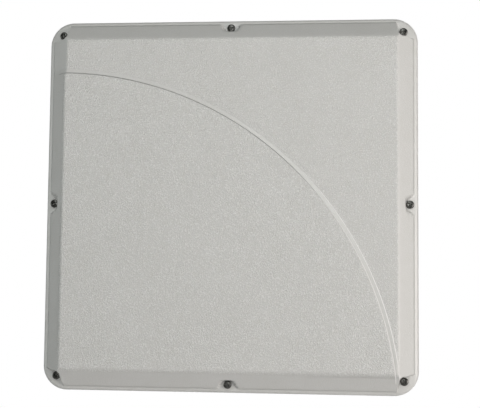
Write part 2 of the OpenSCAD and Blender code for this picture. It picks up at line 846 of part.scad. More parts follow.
radome();
radome_gasket();
back_plate();
cover_screws();
cover_nuts();
patch_plates();
patch_posts();
patch_screws();
feed_network();
feed_spacers();
n_connector_body();
n_connector_insulator();
n_connector_contact();
connector_gasket();
connector_screws();
connector_nuts();
bracket_studs();
bracket_washers();
bracket_spring_washers();
bracket_nuts();
antenna_bracket();
pole_bracket();
pivot_bolts();
pivot_nuts();
tilt_lock_bolts();
tilt_lock_nuts();
tilt_washers();
tilt_spring_washers();
saddle_upper();
saddle_lower();
u_bolt_upper();
u_bolt_lower();
u_bolt_washers();
u_bolt_spring_washers();
u_bolt_nuts();
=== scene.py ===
import json
from math import atan2, cos, hypot, pi, radians, sin, sqrt, tan

import bmesh
import bpy
from mathutils import Matrix, Vector


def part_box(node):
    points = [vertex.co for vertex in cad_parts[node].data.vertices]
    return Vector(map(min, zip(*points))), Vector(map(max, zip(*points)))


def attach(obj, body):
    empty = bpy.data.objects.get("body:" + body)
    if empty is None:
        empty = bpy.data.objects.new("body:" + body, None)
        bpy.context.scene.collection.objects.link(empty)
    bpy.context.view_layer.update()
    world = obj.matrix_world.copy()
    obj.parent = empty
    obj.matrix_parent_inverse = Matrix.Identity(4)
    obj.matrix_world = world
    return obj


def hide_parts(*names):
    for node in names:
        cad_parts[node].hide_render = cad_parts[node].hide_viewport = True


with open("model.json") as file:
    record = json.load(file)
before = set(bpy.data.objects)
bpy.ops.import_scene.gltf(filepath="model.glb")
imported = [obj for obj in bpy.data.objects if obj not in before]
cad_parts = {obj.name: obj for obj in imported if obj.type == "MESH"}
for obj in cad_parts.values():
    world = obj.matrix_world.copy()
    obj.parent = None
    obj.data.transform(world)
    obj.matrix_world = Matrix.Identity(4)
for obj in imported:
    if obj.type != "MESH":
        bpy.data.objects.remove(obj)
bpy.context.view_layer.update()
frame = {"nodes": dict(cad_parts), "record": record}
mm = 0.001


# ---- Back plate ----
# A flat sheet of rolled aluminium, 2 mm thick, that carries the aerial inside the radome and
# the bracket outside it. It is sheared and punched, and its edges are deburred.

class Wire:
    """One output in a finish's nodes. Plain arithmetic on it adds Math nodes."""

    def __init__(self, tree, socket=None):
        self.tree, self.socket = tree, socket

    def node(self, kind, settings=None, values=None, out=0):
        """Adds one node: its settings first, then the values or the links of its sockets."""
        made = self.tree.nodes.new(kind)
        for name, setting in (settings or {}).items():
            setattr(made, name, setting)
        for name, value in (values or {}).items():
            if isinstance(value, Wire):
                self.tree.links.new(value.socket, made.inputs[name])
            else:
                made.inputs[name].default_value = value
        return Wire(self.tree, made.outputs[out]) if len(made.outputs) else None

    def math(self, operation, a, b=0.0):
        return self.node("ShaderNodeMath", {"operation": operation}, {0: a, 1: b})

    def __add__(self, other):
        return self.math("ADD", self, other)

    __radd__ = __add__

    def __sub__(self, other):
        return self.math("SUBTRACT", self, other)

    def __rsub__(self, other):
        return self.math("SUBTRACT", other, self)

    def __mul__(self, other):
        return self.math("MULTIPLY", self, other)

    __rmul__ = __mul__

    def ramp(self, low, high):
        """0 below low, 1 above high, and smooth between them."""
        return self.node("ShaderNodeMapRange", {"interpolation_type": "SMOOTHSTEP"},
                         {"Value": self, "From Min": low, "From Max": high})

    def shade(self, dark, light):
        """A colour between the two, by this value."""
        return self.node("ShaderNodeMix", {"data_type": "RGBA"}, {0: self, 6: dark, 7: light},
                         out=2)

    def bump(self, depth):
        """A normal that this value raises by depth, in metres."""
        return self.node("ShaderNodeBump", None,
                         {"Height": self, "Distance": depth, "Strength": 1.0})


def tone(red, green, blue):
    """A colour given as it looks on a screen, 0 to 255, in the linear values that a node takes."""
    return tuple((c / 255 / 12.92 if c < 10.3 else ((c / 255 + 0.055) / 1.055) ** 2.4)
                 for c in (red, green, blue)) + (1.0,)


def grain(place, size, detail=3.0, stretch=None, rough=0.55):
    """Cloudy noise whose features are about size millimetres across."""
    if stretch:
        place = place.node("ShaderNodeMapping", None, {"Vector": place, "Scale": stretch})
    return place.node("ShaderNodeTexNoise", None, {"Vector": place, "Scale": 1 / (size * mm),
                                                   "Detail": detail, "Roughness": rough})


def cells(place, size, feature="F1", out="Distance"):
    """Voronoi cells about size millimetres across."""
    return place.node("ShaderNodeTexVoronoi", {"feature": feature},
                      {"Vector": place, "Scale": 1 / (size * mm)}, out=out)


def finish(name, recipe, **constants):
    """A material. The recipe gets the object's coordinates and returns what varies with them."""
    material = bpy.data.materials.new(name)
    material.use_nodes = True
    tree = material.node_tree
    tree.nodes.clear()
    start = Wire(tree)
    place = start.node("ShaderNodeTexCoord", out="Object")
    values = recipe(place)
    values.update({key.replace("_", " "): value for key, value in constants.items()})
    skin = start.node("ShaderNodeBsdfPrincipled", None, values)
    start.node("ShaderNodeOutputMaterial", None, {"Surface": skin})
    return material


def eased(node, width, segments=2):
    """A copy of a CAD node as a workshop would finish it: faces whole again, sharp edges eased."""
    shape = bmesh.new()
    shape.from_mesh(frame["nodes"][node].data)
    bmesh.ops.remove_doubles(shape, verts=shape.verts, dist=0.002 * mm)
    bmesh.ops.dissolve_limit(shape, angle_limit=radians(0.8), verts=shape.verts, edges=shape.edges)
    sharp = [e for e in shape.edges if e.is_manifold and e.calc_face_angle() > radians(35)]
    bmesh.ops.bevel(shape, geom=sharp, offset=width * mm, offset_type="OFFSET", affect="EDGES",
                    segments=segments, profile=0.5, material=-1, clamp_overlap=True)
    return shape


def piece(name, shape, body, slot, material, *nodes):
    """Makes the finished object from a bmesh, hangs it on the empty of the body it rides on, and
    hides the CAD nodes it replaces.
    """
    for face in shape.faces:
        face.smooth = True
    for edge in shape.edges:
        edge.smooth = not (edge.is_manifold and edge.calc_face_angle() > radians(38))
    mesh = bpy.data.meshes.new(name)
    shape.to_mesh(mesh)
    shape.free()
    mesh.materials.append(material)
    made = bpy.data.objects.new(name, mesh)
    bpy.context.scene.collection.objects.link(made)
    weighted = made.modifiers.new("Flat faces stay flat", "WEIGHTED_NORMAL")
    weighted.keep_sharp = True
    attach(made, body)
    if nodes:
        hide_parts(*nodes)
    return made


def coat(node, material):
    """Gives a CAD node that keeps its shape its finish."""
    mesh = frame["nodes"][node].data
    mesh.materials.clear()
    mesh.materials.append(material)


def rolled(place):
    along = grain(place, 1.2, 4.0, (0.03, 1.0, 1.0))
    clouds = grain(place, 60, 4.0)
    scuffs = grain(place, 14, 5.0, (1.0, 1.0, 0.35)).ramp(0.56, 0.72)
    tint = (along * 0.5 + clouds * 0.5).shade(tone(168, 170, 172), tone(206, 207, 208))
    return {"Base Color": scuffs.shade(tint, tone(182, 182, 180)),
            "Roughness": 0.3 + along * 0.16 + clouds * 0.12 + scuffs * 0.08,
            "Normal": along.bump(0.006 * mm)}


sheet_aluminium = finish("Rolled aluminium", rolled, Metallic=1.0)
piece("back_plate_sheet", eased("back_plate", 0.25), "panel", "plate_aluminium",
      sheet_aluminium, "back_plate")


# ---- Cable socket ----
# A female N socket with a square flange, turned from brass and nickel-plated. Four screws hold
# it to the plate over a rubber gasket. Its contact is gilt brass in a white PTFE sleeve.

def verts_in(geometry):
    return [v for v in geometry if isinstance(v, bmesh.types.BMVert)]


def edges_in(geometry):
    return [e for e in geometry if isinstance(e, bmesh.types.BMEdge)]


def cut_off(shape, at, way):
    """Cuts away what lies beyond the point on the side that way points to."""
    whole = shape.verts[:] + shape.edges[:] + shape.faces[:]
    bmesh.ops.bisect_plane(shape, geom=whole, dist=0.0001 * mm, plane_co=at, plane_no=way,
                           clear_outer=True)


def turned(profile, steps=48):
    """A closed solid or tube turned about Z from (radius, height) points in millimetres."""
    shape = bmesh.new()
    corners = [shape.verts.new((r * mm, 0, z * mm)) for r, z in profile]
    edges = [shape.edges.new(pair) for pair in zip(corners, corners[1:])]
    if profile[0][0] > 0 or profile[-1][0] > 0:
        edges.append(shape.edges.new((corners[-1], corners[0])))
    bmesh.ops.spin(shape, geom=corners + edges, cent=(0, 0, 0), axis=(0, 0, 1), dvec=(0, 0, 0),
                   angle=2 * pi, steps=steps, use_merge=True, use_duplicate=False)
    bmesh.ops.remove_doubles(shape, verts=shape.verts, dist=0.001 * mm)
    bmesh.ops.recalc_face_normals(shape, faces=shape.faces)
    return shape


def ring(shape, loop, radius=None, height=None):
    """Extrudes a loop of edges and moves the new one to a radius and a height, in millimetres."""
    new = bmesh.ops.extrude_edge_only(shape, edges=loop)["geom"]
    for vert in verts_in(new):
        spread = hypot(vert.co.x, vert.co.y)
        if radius is not None:
            vert.co.x *= radius * mm / spread
            vert.co.y *= radius * mm / spread
        if height is not None:
            vert.co.z = height * mm
    return edges_in(new)


def threaded(radius, pitch, low, high, bore=None, steps=24):
    """A threaded rod along +Z between two heights, its tip chamfered, its foot flat. With a bore,
    (radius, depth), it is drilled from the tip."""
    shape = bmesh.new()
    depth = 0.6 * pitch
    turns = int((high - low) / pitch) + 3
    start = low - 1.5 * pitch
    side = [(radius - depth, 0), (radius, 0.42), (radius, 0.56), (radius - depth, 0.98),
            (radius - depth, 1)]
    verts = [shape.verts.new((r * mm, 0, (start + t * pitch) * mm)) for r, t in side]
    edges = [shape.edges.new(pair) for pair in zip(verts, verts[1:])]
    bmesh.ops.spin(shape, geom=verts + edges, cent=(0, 0, 0), axis=(0, 0, 1),
                   dvec=(0, 0, pitch * mm / steps), angle=2 * pi * turns, steps=steps * turns,
                   use_merge=False, use_duplicate=False)
    bmesh.ops.remove_doubles(shape, verts=shape.verts, dist=0.01 * mm)
    tip = high - depth - 0.2
    for height, way in ((low, -1), (tip, 1)):
        cut_off(shape, (0, 0, height * mm), (0, 0, way))
    bmesh.ops.remove_doubles(shape, verts=shape.verts, dist=0.004 * mm)
    foot = [e for e in shape.edges if e.is_boundary and e.verts[0].co.z < (low + pitch / 2) * mm]
    top = [e for e in shape.edges if e.is_boundary and e.verts[0].co.z > (tip - pitch / 2) * mm]
    foot = ring(shape, foot, radius - depth - 0.05)
    bmesh.ops.edgeloop_fill(shape, edges=foot)
    top = ring(shape, top, radius - depth, high - 0.05)
    top = ring(shape, top, radius - depth - 0.15, high)
    if bore:
        top = ring(shape, top, bore[0] + 0.3)
        top = ring(shape, top, bore[0], high - 0.3)
        top = ring(shape, top, bore[0], high - bore[1])
    bmesh.ops.edgeloop_fill(shape, edges=top)
    bmesh.ops.recalc_face_normals(shape, faces=shape.faces)
    return shape


def place_at(shape, x, y, z, along="Y", turn=0.0):
    """Turns a shape made along +Z to point along Y or X, and moves it, in millimetres."""
    aims = {"Y": Matrix.Rotation(-pi / 2, 4, "X"), "-Y": Matrix.Rotation(pi / 2, 4, "X"),
            "X": Matrix.Rotation(pi / 2, 4, "Y"), "-X": Matrix.Rotation(-pi / 2, 4, "Y")}
    move = (Matrix.Translation((x * mm, y * mm, z * mm)) @ aims[along]
            @ Matrix.Rotation(turn, 4, "Z"))
    bmesh.ops.transform(shape, matrix=move, verts=shape.verts)
    return shape


def joined(shapes):
    """Several bmeshes as one."""
    whole = bmesh.new()
    for shape in shapes:
        part = bpy.data.meshes.new("part")
        shape.to_mesh(part)
        whole.from_mesh(part)
        bpy.data.meshes.remove(part)
        shape.free()
    return whole


def plated(place):
    clouds = grain(place, 9, 4.0)
    fine = grain(place, 0.8, 3.0)
    mixed = clouds * 0.7 + fine * 0.3
    return {"Base Color": mixed.shade(tone(158, 153, 143), tone(200, 196, 186)),
            "Roughness": 0.16 + clouds * 0.14 + fine * 0.08,
            "Normal": fine.bump(0.004 * mm)}


def gilt(place):
    fine = grain(place, 0.7, 3.0)
    return {"Base Color": fine.shade(tone(196, 150, 70), tone(226, 186, 104)),
            "Roughness": 0.2 + fine * 0.15}


def waxy(place):
    clouds = grain(place, 2.5, 3.0)
    return {"Base Color": clouds.shade(tone(226, 225, 218), tone(240, 239, 234)),
            "Roughness": 0.42 + clouds * 0.14, "Normal": clouds.bump(0.01 * mm)}


def rubbery(place):
    clouds = grain(place, 5, 4.0)
    fine = grain(place, 0.6, 2.0)
    return {"Base Color": (clouds * 0.6 + fine * 0.4).shade(tone(22, 22, 23), tone(48, 48, 49)),
            "Roughness": 0.55 + clouds * 0.25, "Normal": fine.bump(0.02 * mm)}


nickel = finish("Nickel plate", plated, Metallic=1.0)
gilt_brass = finish("Gilt brass", gilt, Metallic=1.0)
ptfe = finish("White PTFE", waxy)
rubber = finish("Black rubber", rubbery, Specular_IOR_Level=0.35)

socket_low, socket_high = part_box("n_connector_body")
socket_z = (socket_low.z + socket_high.z) / 2 / mm
flange_back = socket_low.y / mm + 3
socket_end = socket_high.y / mm
socket_flange = eased("n_connector_body", 0.3, 3)
cut_off(socket_flange, (0, (flange_back + 0.6) * mm, 0), (0, 1, 0))
barrel = threaded(7.9, 1.06, flange_back + 2.0, socket_end, bore=(4.2, 9.9), steps=36)
collar = turned([(4.4, flange_back - 0.5), (7.94, flange_back - 0.5), (7.94, flange_back + 0.9),
                 (7.3, flange_back + 1.5), (7.2, flange_back + 2.2), (4.4, flange_back + 2.2)])
socket = [place_at(barrel, 0, 0, socket_z), place_at(collar, 0, 0, socket_z), socket_flange]
piece("cable_socket_body", joined(socket), "panel", "nickel", nickel, "n_connector_body")
piece("cable_socket_contact", eased("n_connector_contact", 0.08), "panel", "brass", gilt_brass,
      "n_connector_contact")
piece("cable_socket_sleeve", eased("n_connector_insulator", 0.15), "panel", "white_nylon", ptfe,
      "n_connector_insulator")
piece("cable_socket_gasket", eased("connector_gasket", 0.15), "panel", "black_rubber", rubber,
      "connector_gasket")


# ---- Aerial inside the panel ----
# Sixteen square aluminium patches stand on brass posts, and a copper strip on nylon spacers
# feeds them from the socket. The radome hides them all.

def drawn_copper(place):
    along = grain(place, 1.5, 3.0, (0.1, 1.0, 1.0))
    clouds = grain(place, 25, 4.0)
    mixed = along * 0.4 + clouds * 0.6
    return {"Base Color": mixed.shade(tone(168, 96, 66), tone(212, 140, 106)),
            "Roughness": 0.28 + clouds * 0.2, "Normal": along.bump(0.004 * mm)}


def turned_brass(place):
    fine = grain(place, 0.6, 3.0)
    return {"Base Color": fine.shade(tone(172, 138, 72), tone(206, 174, 104)),
            "Roughness": 0.28 + fine * 0.16}


copper = finish("Copper strip", drawn_copper, Metallic=1.0)
brass = finish("Turned brass", turned_brass, Metallic=1.0)
nylon = finish("White nylon", waxy)
coat("patch_plates", sheet_aluminium)
coat("patch_posts", brass)
coat("feed_network", copper)
coat("feed_spacers", nylon)


# ---- Small screws and nuts ----
# Cross-recess machine screws, M4 in the cover and M3 in the socket and the patches. They are
# stainless steel, rolled and tumbled, and the eight in the cover are dulled by weather.

def spread_round(x, y):
    """Moves a point of the square -1..1 to the round disc."""
    return x * sqrt(1 - y * y / 2), y * sqrt(1 - x * x / 2)


def pan_head(width, height):
    """A domed head with a cross recess, standing on Z = 0."""
    shape = bmesh.new()
    bmesh.ops.create_grid(shape, x_segments=26, y_segments=26, size=1.0)
    r = width / 2
    edge = [e for e in shape.edges if e.is_boundary]
    for vert in shape.verts:
        x, y = spread_round(vert.co.x, vert.co.y)
        out = hypot(x, y)
        top = height * (1 - 0.16 * out ** 2 - 0.34 * out ** 6)
        arm, across = max(abs(x), abs(y)), min(abs(x), abs(y))
        wing = (max(0.0, 1 - max(0.0, across - 0.075) / 0.07)
                * max(0.0, min(1.0, (0.56 - arm) / 0.1)))
        well = max(0.0, min(1.0, (0.2 - across * 1.1 - max(0.0, arm - 0.12) * 1.4) / 0.1))
        top -= height * (0.44 * min(1.0, wing) * (1 - 0.35 * arm) + 0.12 * well)
        vert.co = (x * r * mm, y * r * mm, top * mm)
    edge = ring(shape, edge, r, height * 0.3)
    edge = ring(shape, edge, r * 0.985, height * 0.04)
    edge = ring(shape, edge, r * 0.94, 0)
    bmesh.ops.edgeloop_fill(shape, edges=edge)
    bmesh.ops.recalc_face_normals(shape, faces=shape.faces)
    return shape


def weathered(place):
    clouds = grain(place, 2.2, 4.0)
    fine = grain(place, 0.35, 2.0)
    return {"Base Color": (clouds * 0.6 + fine * 0.4).shade(tone(58, 58, 56), tone(128, 128, 124)),
            "Roughness": 0.2 + clouds * 0.2, "Normal": fine.bump(0.01 * mm)}


def bright_steel(place):
    clouds = grain(place, 3, 4.0)
    return {"Base Color": clouds.shade(tone(150, 150, 150), tone(186, 186, 186)),
            "Roughness": 0.22 + clouds * 0.14, "Normal": grain(place, 0.4, 2.0).bump(0.004 * mm)}


dull_stainless = finish("Weathered stainless steel", weathered, Metallic=1.0)
stainless = finish("Stainless steel", bright_steel, Metallic=1.0)
coat("patch_screws", stainless)
coat("connector_nuts", stainless)
socket_pitch = 18.26
socket_screw_tip = -107.0
sunk = 0.1
socket_screws = []
for i in (-1, 1):
    for j in (-1, 1):
        x, z = i * socket_pitch / 2, socket_z + j * socket_pitch / 2
        shank = threaded(1.5, 0.5, 0, flange_back + sunk - socket_screw_tip, steps=16)
        socket_screws += [place_at(pan_head(5.5, 2), x, flange_back, z, "Y", 0.7 * i + j),
                          place_at(shank, x, flange_back + sunk, z, "-Y")]
piece("cable_socket_screws", joined(socket_screws), "panel", "screw_steel", stainless,
      "connector_screws")

plate_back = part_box("back_plate")[1].y / mm
cover_head_h = 2.6
flange_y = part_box("cover_screws")[0].y / mm + cover_head_h
corner_screw, middle_screw = 171, 177
cover_places = [(i * (corner_screw if j else middle_screw),
                 j * (corner_screw if i else middle_screw))
                for i in (-1, 0, 1) for j in (-1, 0, 1) if i or j]
cover_screws = []
for count, (x, z) in enumerate(cover_places):
    shank = threaded(2.0, 0.7, 0, plate_back + 3.8 - flange_y + 0.2, steps=20)
    cover_screws += [place_at(pan_head(8, cover_head_h), x, flange_y, z, "-Y", 0.5 + 1.9 * count),
                     place_at(shank, x, flange_y - 0.2, z)]
piece("radome_screws", joined(cover_screws), "panel", "screw_steel", dull_stainless, "cover_screws")


# ---- Zinc-plated nuts, washers and studs ----
# Clinch nuts pressed into the plate for the cover screws, and M6 studs with washers, spring
# washers and nuts that clamp the panel's bracket. All are steel with clear zinc plating.

def hexagon(size, height, bore=None, sides=72):
    """A nut or a bolt head on Z = 0: a hexagon whose corners are chamfered at both ends."""
    flat = size * 0.94 * cos(pi / 6)
    shape = bmesh.new()
    bmesh.ops.create_circle(shape, cap_ends=False, segments=sides, radius=flat * mm)
    loop = shape.edges[:]
    first = loop
    bevel = tan(radians(30))

    def corner(vert):
        turn = atan2(vert.co.y, vert.co.x) % (pi / 3) - pi / 6
        return flat / cos(turn)

    for top in (False, True):
        new = bmesh.ops.extrude_edge_only(shape, edges=loop)["geom"]
        for vert in verts_in(new):
            wide = corner(vert)
            drop = (wide - flat * 0.985) * bevel
            scale = wide * mm / hypot(vert.co.x, vert.co.y)
            vert.co = (vert.co.x * scale, vert.co.y * scale,
                       (height - drop if top else drop) * mm)
        loop = edges_in(new)
    loop = ring(shape, loop, flat * 0.97, height)
    if bore:
        ease = 0.35
        for radius, level in ((bore + ease, height), (bore, height - ease), (bore, ease),
                              (bore + ease, 0)):
            loop = ring(shape, loop, radius, level)
        bmesh.ops.bridge_loops(shape, edges=loop + first)
    else:
        bmesh.ops.edgeloop_fill(shape, edges=loop)
        bmesh.ops.edgeloop_fill(shape, edges=first)
    bmesh.ops.recalc_face_normals(shape, faces=shape.faces)
    return shape


def washer(outer, bore, thick, ease=0.15):
    """A stamped flat washer on Z = 0, one side's edge rounder than the other's."""
    return turned([(bore, ease / 2), (bore + ease / 2, 0), (outer - ease / 2, 0),
                   (outer, ease / 2), (outer, thick - 2 * ease),
                   (outer - ease * 0.6, thick - ease * 0.6), (outer - 2 * ease, thick),
                   (bore + ease, thick), (bore, thick - ease)])


def spring_washer(outer, bore, thick, turn):
    """A split washer of square wire, pressed almost flat, its ends a little apart."""
    shape = bmesh.new()
    ease = 0.18
    edge = [(bore, ease), (bore + ease, 0), (outer - ease, 0), (outer, ease), (outer, thick - ease),
            (outer - ease, thick), (bore + ease, thick), (bore, thick - ease)]
    verts = [shape.verts.new((r * mm, 0, z * mm)) for r, z in edge]
    wire = [shape.edges.new(pair) for pair in zip(verts, verts[1:] + verts[:1])]
    bmesh.ops.spin(shape, geom=verts + wire, cent=(0, 0, 0), axis=(0, 0, 1), dvec=(0, 0, 0),
                   angle=radians(346), steps=44, use_merge=False, use_duplicate=False)
    bmesh.ops.edgeloop_fill(shape, edges=[e for e in shape.edges if e.is_boundary])
    bmesh.ops.remove_doubles(shape, verts=shape.verts, dist=0.001 * mm)
    bmesh.ops.recalc_face_normals(shape, faces=shape.faces)
    bmesh.ops.rotate(shape, cent=(0, 0, 0), matrix=Matrix.Rotation(turn, 3, "Z"),
                     verts=shape.verts)
    return shape


def zinc(place):
    clouds = grain(place, 7, 4.0)
    fine = grain(place, 0.7, 3.0)
    bloom = grain(place, 3.0, 5.0).ramp(0.58, 0.74)
    bare = (clouds * 0.6 + fine * 0.4).shade(tone(150, 153, 156), tone(196, 199, 202))
    return {"Base Color": bloom.shade(bare, tone(206, 206, 202)),
            "Roughness": 0.24 + clouds * 0.16 + bloom * 0.25, "Normal": fine.bump(0.006 * mm)}


def blued(place):
    clouds = grain(place, 4, 4.0)
    return {"Base Color": clouds.shade(tone(120, 123, 127), tone(166, 169, 172)),
            "Roughness": 0.3 + clouds * 0.2, "Normal": grain(place, 0.5, 2.0).bump(0.006 * mm)}


zinc_plate = finish("Zinc plate", zinc, Metallic=1.0)
spring_finish = finish("Plated spring steel", blued, Metallic=1.0)

clinch_section = [(2.08, 0.3), (2.4, 0), (4.1, 0), (4.1, 2.5), (3.7, 3.2), (2.4, 3.2), (2.08, 2.9)]
clinch = [place_at(turned(clinch_section, 36), x, plate_back, z) for x, z in cover_places]
piece("radome_clinch_nuts", joined(clinch), "panel", "zinc_steel", zinc_plate, "cover_nuts")

stud_x, stud_z = 20, 36
stud_places = [(i * stud_x, j * stud_z) for i in (-1, 1) for j in (-1, 1)]
stud_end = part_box("bracket_studs")[1].y / mm
stud_front = plate_back - 3
washer_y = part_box("bracket_washers")[0].y / mm
spring_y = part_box("bracket_spring_washers")[0].y / mm
nut_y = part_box("bracket_nuts")[0].y / mm
stud_foot = [(0, 0), (4.0, 0), (4.2, 0.2), (4.2, 1), (2.95, 1), (2.95, 6.4), (0, 6.4)]
m6_bore = 3.08
studs, washers, springs, nuts = [], [], [], []
for count, (x, z) in enumerate(stud_places):
    studs += [place_at(turned(stud_foot, 32), x, stud_front, z),
              place_at(threaded(3, 1.0, 6, stud_end - stud_front), x, stud_front, z)]
    washers.append(place_at(washer(6.3, m6_bore, 1.2), x, washer_y, z))
    springs.append(place_at(spring_washer(5.52, m6_bore, 1.5, count * 1.3), x, spring_y, z))
    nuts.append(place_at(hexagon(6, 4.8, m6_bore), x, nut_y, z, "Y", 0.3 + 0.8 * count))
piece("bracket_weld_studs", joined(studs), "panel", "zinc_steel", zinc_plate, "bracket_studs")
piece("bracket_flat_washers", joined(washers), "panel", "zinc_steel", zinc_plate, "bracket_washers")
piece("bracket_split_washers", joined(springs), "panel", "spring_steel", spring_finish,
      "bracket_spring_washers")
piece("bracket_hexagon_nuts", joined(nuts), "panel", "zinc_steel", zinc_plate, "bracket_nuts")


# ---- Radome and its gasket ----
# One thin moulding of weatherproof grey-white plastic. Its raised face has sloping sides, a
# curved step, and a bay round each screw. The face has a moulded grain; the slopes are finer.

half, round_r = 185.5, 24.0
foot, riser = 4.5, 0.4
face_top, step_top = 14.0, 15.4
crest, crest_left, crest_low = 21.0, 20.0, 22.5
arc_x, arc_z, arc_r, arc_run = -171.0, -205.0, 337.0, 4.5
rim_r = 3.0
draft_in, draft = 8.0, 0.24
corner_bay_r, middle_bay_r = 4.5, 4.2
crest_blend, bay_blend = 1.6, 1.2
contour, probe = 0.68, 0.05
flange_t, skirt_back = 3.0, 12.0
inner_half = 176


def soft_min(a, b, blend):
    gap = max(blend - abs(a - b), 0.0) / blend
    return min(a, b) - gap * gap * blend / 4


def soft_max(a, b, blend):
    return -soft_min(-a, -b, blend)


def smooth(low, high, value):
    t = max(0.0, min(1.0, (value - low) / (high - low)))
    return t * t * (3 - 2 * t)


def slope(inward, top, crest_in):
    """Height of one sloping side at a distance in from the edge: a short riser, then a chamfer."""
    rise = (top - riser) / (crest_in - foot)
    return soft_min(2.6 * (inward - foot), riser + rise * (inward - foot), 0.8)


def bay_wall(x, z):
    """Distance out of the nearest bay, and how steeply its wall rises there."""
    ax, az = abs(x), abs(z)
    if ax > 120 and az > 120:
        qx, qz = corner_screw - ax, corner_screw - az
        out = hypot(max(qx, 0), max(qz, 0)) + min(max(qx, qz), 0)
        return out - corner_bay_r - 0.25 * max(0.0, -min(qx, qz)), 12.0
    side, up = (ax, middle_screw - az) if az > ax else (az, middle_screw - ax)
    out = soft_max(0.772 * side + 0.636 * up - 5.45, up - middle_bay_r, 1.4)
    return out, 4.0 + 8.0 * (1 - smooth(3, 6, side))


def to_contour(x, z):
    """Moves a point that is nearly on a bay's wall to its foot or to its first contour above."""
    out = bay_wall(x, z)[0]
    goal = out
    if abs(out) < contour / 2:
        goal = 0.0
    elif abs(out - contour) < contour / 2:
        goal = contour
    slope_x = (bay_wall(x + probe, z)[0] - out) / probe
    slope_z = (bay_wall(x, z + probe)[0] - out) / probe
    steep = slope_x ** 2 + slope_z ** 2 + 1e-6
    return x + (goal - out) * slope_x / steep, z + (goal - out) * slope_z / steep


def face_height(x, z):
    """Height of the radome's front above its flange, in millimetres."""
    left, right, low, top = half + x, half - x, half + z, half - z
    plain, high = face_top, step_top
    for inward, crest_plain, crest_high in ((left, crest, crest_left), (right, crest, crest),
                                            (low, crest, crest_low), (top, crest, crest)):
        if inward < 40:
            plain = soft_min(plain, slope(inward, face_top, crest_plain), crest_blend)
            high = soft_min(high, slope(inward, step_top, crest_high), crest_blend)
    inside = (arc_r + arc_run / 2 - hypot(x - arc_x, z - arc_z)) / arc_run
    height = plain + (high - plain) * max(0.0, min(1.0, inside))
    if max(abs(x), abs(z)) > 145:
        out, steep = bay_wall(x, z)
        height = soft_min(height, steep * out, bay_blend)
    return height


def foot_shade_at(height):
    """1 along the foot of the raised face, where the slopes and the bays' walls meet the flange;
    the colour gets painted shade there.
    """
    return max(0.0, 1 - abs(height - 0.1) / 1.1)


# The lines of the moulding's grid, from the middle to the edge: wide over the face, close over
# the slopes, and closest round the rim.
wide_end, wide, close, rounded = 161, 92, 32, 5
lines = [wide_end * k / wide for k in range(wide)]
lines += [wide_end + (half - rim_r - wide_end) * k / close for k in range(close)]
lines += [half - rim_r * (1 - sin(k * pi / (2 * rounded))) for k in range(rounded + 1)]
count = len(lines) - 1
skin = bmesh.new()
bmesh.ops.create_grid(skin, x_segments=2 * count, y_segments=2 * count, size=1.0)
# Each vertex keeps the mask of the shade painted along the foot of the raised face.
foot_shade = skin.verts.layers.float.new("foot_shade")
edge = [e for e in skin.edges if e.is_boundary]
straight = half - round_r
for vert in skin.verts:
    flat = []
    for part in (vert.co.x, vert.co.y):
        line = lines[round(abs(part) * count)]
        flat.append(line if part > 0 else -line)
    x, z = flat
    if abs(x) > straight and abs(z) > straight:
        a, b = spread_round((abs(x) - straight) / round_r, (abs(z) - straight) / round_r)
        x, z = [(straight + part * round_r) * (1 if old > 0 else -1)
                for part, old in ((a, x), (b, z))]
        to_rim = round_r * (1 - hypot(a, b))
    else:
        to_rim = half - max(abs(x), abs(z))
    away = hypot(x - arc_x, z - arc_z)
    for border in (arc_r - arc_run / 2, arc_r + arc_run / 2):
        if abs(away - border) < 0.75 and max(abs(x), abs(z)) < 160:
            x, z = arc_x + (x - arc_x) * border / away, arc_z + (z - arc_z) * border / away
            break
    if max(abs(x), abs(z)) > 155 and to_rim > rim_r:
        x, z = to_contour(x, z)
    height = face_height(x, z)
    vert[foot_shade] = foot_shade_at(height)
    height = soft_max(height, -draft * max(0.0, draft_in - to_rim), 0.5)
    if to_rim < rim_r:
        height -= rim_r - sqrt(max(0.0, rim_r ** 2 - (rim_r - to_rim) ** 2))
    vert.co = (x * mm, (flange_y - height) * mm, z * mm)


def step_in(shape, loop, inset, level):
    """Extrudes the moulding's outline inwards by inset, to a level behind the flange."""
    new = bmesh.ops.extrude_edge_only(shape, edges=loop)["geom"]
    for vert in verts_in(new):
        x, z = vert.co.x / mm, vert.co.z / mm
        cx = max(-straight, min(straight, x))
        cz = max(-straight, min(straight, z))
        reach = hypot(x - cx, z - cz)
        new_reach = round_r - inset
        vert.co = ((cx + (x - cx) * new_reach / reach) * mm, (flange_y + level) * mm,
                   (cz + (z - cz) * new_reach / reach) * mm)
    return edges_in(new)


rim = step_in(skin, edge, 0, rim_r + draft * draft_in + 1)
for inset, level in ((0, skirt_back - 0.5), (0.15, skirt_back - 0.15), (0.5, skirt_back),
                     (2.0, skirt_back), (2.5, skirt_back - 0.5), (2.5, flange_t + 0.4),
                     (2.9, flange_t)):
    rim = step_in(skin, rim, inset, level)
inner = bmesh.ops.create_grid(skin, x_segments=60, y_segments=60, size=1.0)["verts"]
for vert in inner:
    x, z = vert.co.x * inner_half, vert.co.y * inner_half
    raised = 0.0
    if max(abs(x), abs(z)) < inner_half - 2:
        raised = max(0.0, face_height(x * 1.012, z * 1.012) - 0.5)
    vert.co = (x * mm, (flange_y + (flange_t - raised)) * mm, z * mm)
inner_edge = [e for e in skin.edges if e.is_boundary and e.verts[0] in set(inner)]
bmesh.ops.bridge_loops(skin, edges=rim + inner_edge)
bmesh.ops.recalc_face_normals(skin, faces=skin.faces)


